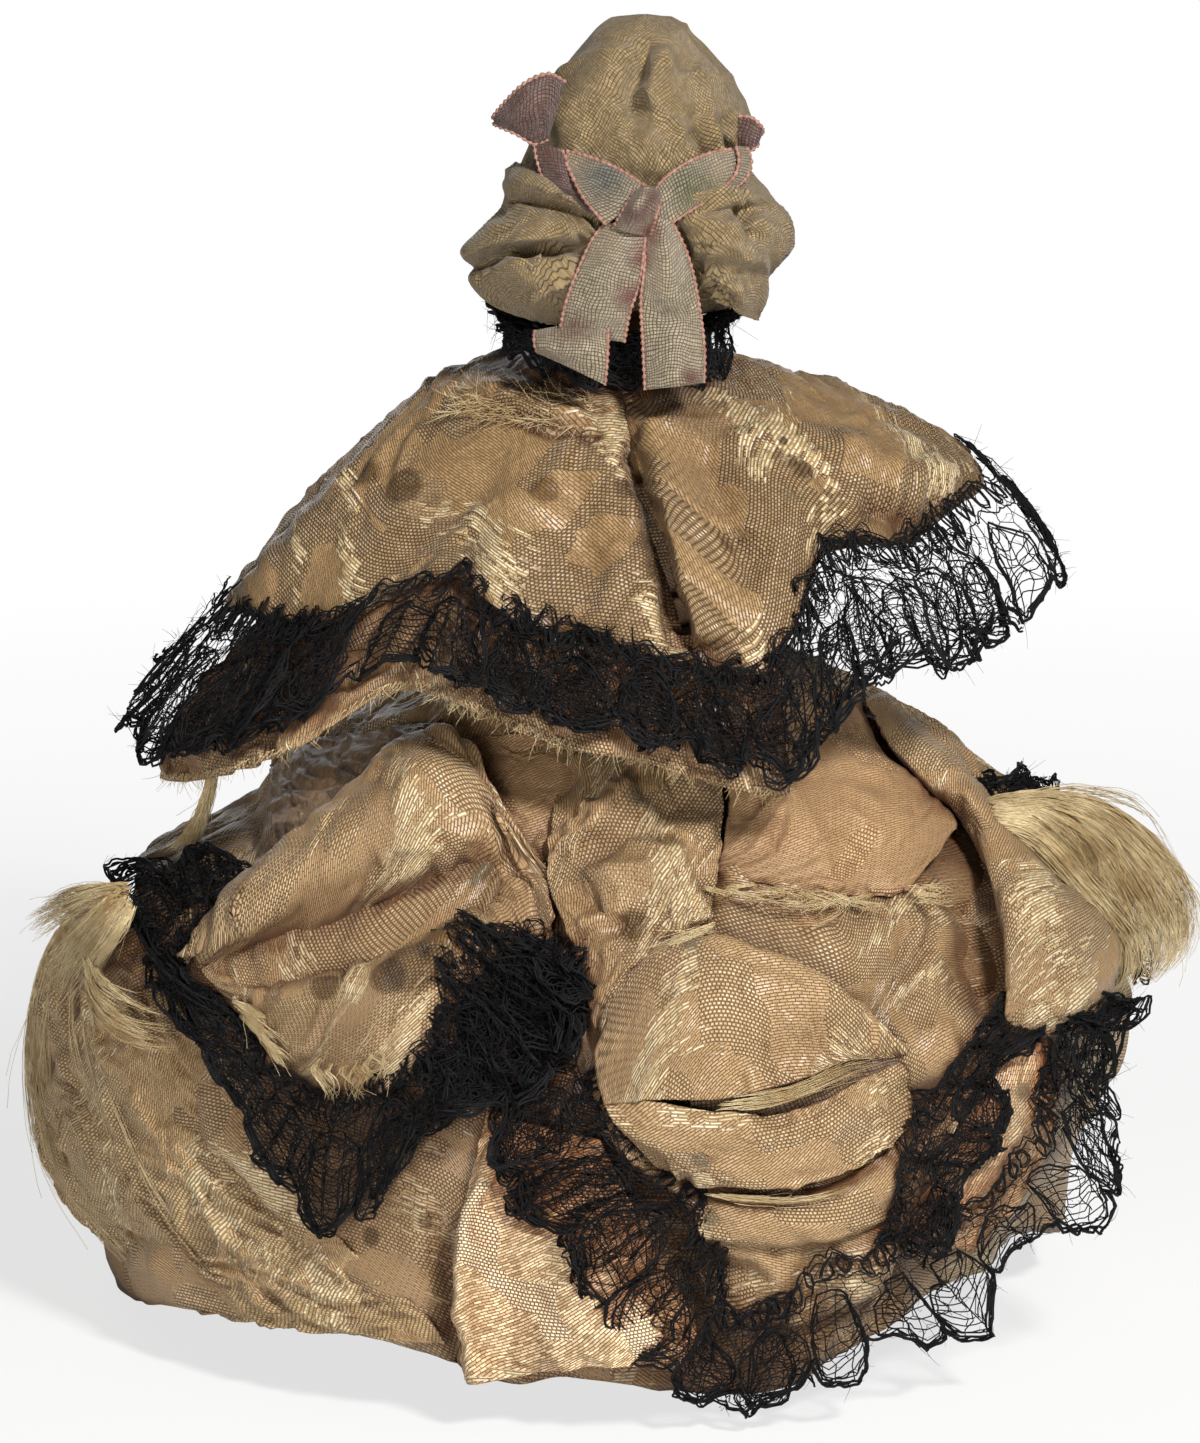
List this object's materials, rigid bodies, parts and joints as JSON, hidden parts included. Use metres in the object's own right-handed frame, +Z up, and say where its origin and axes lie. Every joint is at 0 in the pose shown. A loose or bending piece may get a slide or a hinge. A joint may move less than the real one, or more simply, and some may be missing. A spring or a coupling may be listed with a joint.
{
  "type": "dressed wooden peg doll",
  "caption": "Standing carved wooden peg doll with pinned limbs, dressed in a wide silk gown with lace, a cape and a ribboned bonnet.",
  "frame": {"origin": "on the floor under the middle of the gown", "axes": "+Z up, +Y towards the doll's back, +X towards the doll's left hand"},
  "size_m": [0.0974, 0.0775, 0.111],
  "materials": {
    "wood": "carved, smoothed and partly painted",
    "peg": "whittled, bare",
    "silk": "figured satin weave, worn",
    "satin": "plain satin weave, soft sheen",
    "fray": "loose silk threads",
    "muslin": "plain weave, dull",
    "lace": "cotton net with thicker outline thread",
    "ribbon": "thin silk gauze with looped edges"
  },
  "bodies": {
    "torso": {"head_and_torso": "wood", "nose_wedge": "wood", "shoulder_peg_left": "peg", "shoulder_peg_right": "peg", "hip_pin": "peg", "bodice": "silk", "skirt": "silk", "overskirt_left": "silk", "overskirt_right": "silk", "overskirt_centre": "silk", "cape_left": "silk", "cape_right": "silk", "waistband": "satin", "side_drape_right": "satin", "silk_fray_left": "fray", "silk_fray_right": "fray", "cape_fringe": "fray", "loose_silk_strip": "fray", "skirt_lining": "muslin", "bonnet_crown": "muslin", "bonnet_curtain_left": "muslin", "bonnet_curtain_right": "muslin", "lace_swag_left": "lace", "lace_hem_right": "lace", "cape_lace_left": "lace", "cape_lace_right": "lace", "neck_ruff": "lace", "ribbon_band": "ribbon", "ribbon_knot": "ribbon", "ribbon_tail_left": "ribbon", "ribbon_tail_right": "ribbon", "ribbon_bow_left": "ribbon", "ribbon_bow_right": "ribbon", "ribbon_twist_left": "ribbon"},
    "upper_arm_left": {"upper_arm_left": "wood", "elbow_pin_left": "peg", "sleeve_left": "silk"},
    "forearm_left": {"forearm_left": "wood"},
    "thigh_left": {"thigh_left": "wood", "knee_pin_left": "peg"},
    "lower_leg_left": {"lower_leg_left": "wood"},
    "upper_arm_right": {"upper_arm_right": "wood", "elbow_pin_right": "peg", "sleeve_right": "silk"},
    "forearm_right": {"forearm_right": "wood"},
    "thigh_right": {"thigh_right": "wood", "knee_pin_right": "peg"},
    "lower_leg_right": {"lower_leg_right": "wood"}
  },
  "joints": [
    {"name": "shoulder_left", "type": "hinge", "parent": "torso", "child": "upper_arm_left", "pos_m": [0.0106, 0, 0.075], "axis": [-1, 0, 0], "range_deg": [-10, 55]},
    {"name": "elbow_left", "type": "hinge", "parent": "upper_arm_left", "child": "forearm_left", "pos_m": [0.0106, -0.0075, 0.06201], "axis": [-1, 0, 0], "range_deg": [-15, 38]},
    {"name": "hip_left", "type": "hinge", "parent": "torso", "child": "thigh_left", "pos_m": [0.0036, 0, 0.047], "axis": [-1, 0, 0], "range_deg": [-15, 28]},
    {"name": "knee_left", "type": "hinge", "parent": "thigh_left", "child": "lower_leg_left", "pos_m": [0.0036, 0, 0.025], "axis": [1, 0, 0], "range_deg": [0, 45]},
    {"name": "shoulder_right", "type": "hinge", "parent": "torso", "child": "upper_arm_right", "pos_m": [-0.0106, 0, 0.075], "axis": [-1, 0, 0], "range_deg": [-10, 55]},
    {"name": "elbow_right", "type": "hinge", "parent": "upper_arm_right", "child": "forearm_right", "pos_m": [-0.0106, -0.0075, 0.06201], "axis": [-1, 0, 0], "range_deg": [-15, 38]},
    {"name": "hip_right", "type": "hinge", "parent": "torso", "child": "thigh_right", "pos_m": [-0.0036, 0, 0.047], "axis": [-1, 0, 0], "range_deg": [-15, 28]},
    {"name": "knee_right", "type": "hinge", "parent": "thigh_right", "child": "lower_leg_right", "pos_m": [-0.0036, 0, 0.025], "axis": [1, 0, 0], "range_deg": [0, 45]}
  ]
}
